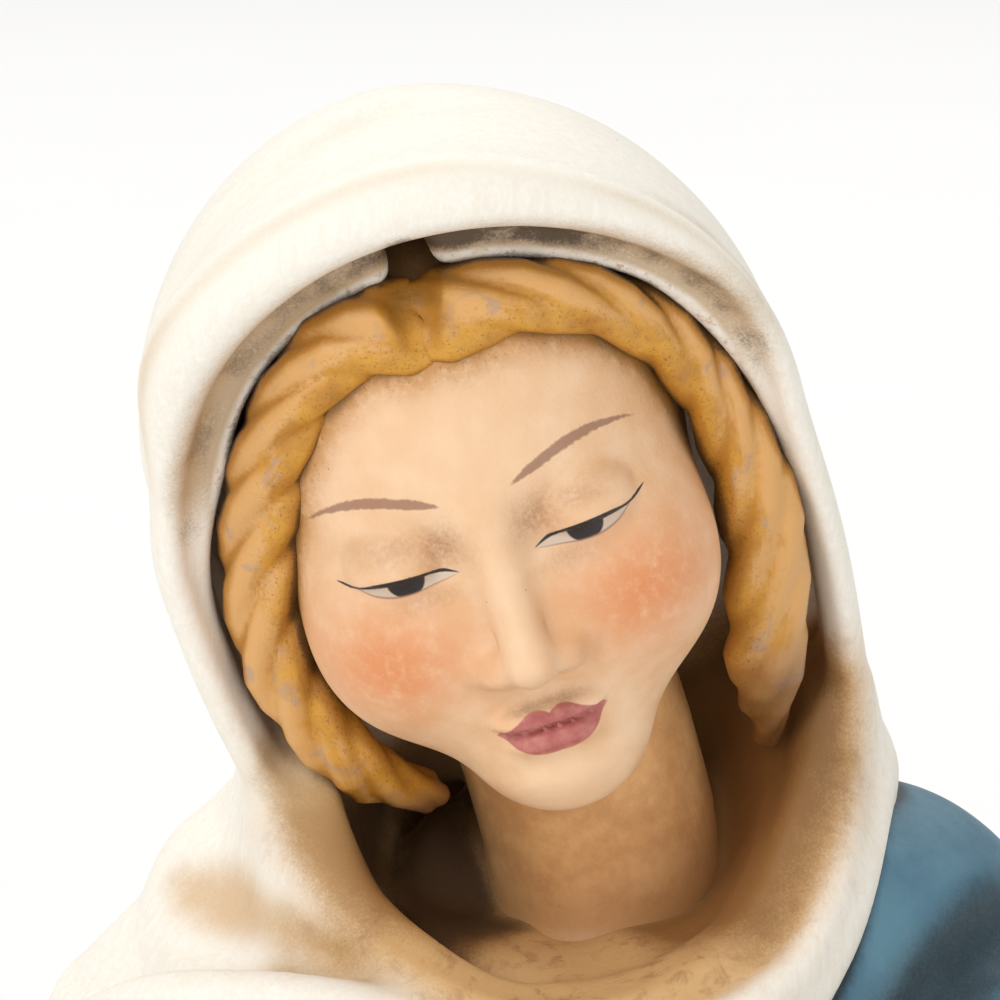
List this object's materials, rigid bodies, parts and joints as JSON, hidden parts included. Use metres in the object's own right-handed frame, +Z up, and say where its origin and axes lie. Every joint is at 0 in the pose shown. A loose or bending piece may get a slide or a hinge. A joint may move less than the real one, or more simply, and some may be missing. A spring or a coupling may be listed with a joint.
{
  "type": "nativity figure",
  "caption": "Kneeling painted nativity figure with bowed head in a draped cream veil, waved hair, blue gown, hands palm to palm, on an oval plinth.",
  "frame": {"origin": "middle of the felt's underside, on the surface the figure stands on", "axes": "+Z up from the foot to the crown, the figure faces -Y, +X to the viewer's right"},
  "size_m": [0.0592, 0.0722, 0.1244],
  "materials": {
    "felt": "matte",
    "plinth_wood": "satin",
    "rod_wood": "matte",
    "filler": "matte",
    "robe_blue": "satin",
    "steel": "satin",
    "skin": "satin",
    "hair": "satin",
    "veil": "satin"
  },
  "bodies": {
    "root": {"felt_pad": "felt", "base_plate": "plinth_wood", "spine_rod": "rod_wood", "body_core": "filler", "robe_front": "robe_blue", "robe_back": "robe_blue", "base_screw_left": "steel", "base_screw_right": "steel", "arm_wire_left": "steel", "arm_wire_right": "steel", "sleeve_left": "robe_blue", "sleeve_right": "robe_blue", "hand_left": "skin", "hand_right": "skin", "head": "skin", "hair_left": "hair", "hair_right": "hair", "veil_hood": "veil", "veil_wrap": "veil", "veil_shoulder": "veil", "veil_back": "veil"}
  },
  "joints": []
}
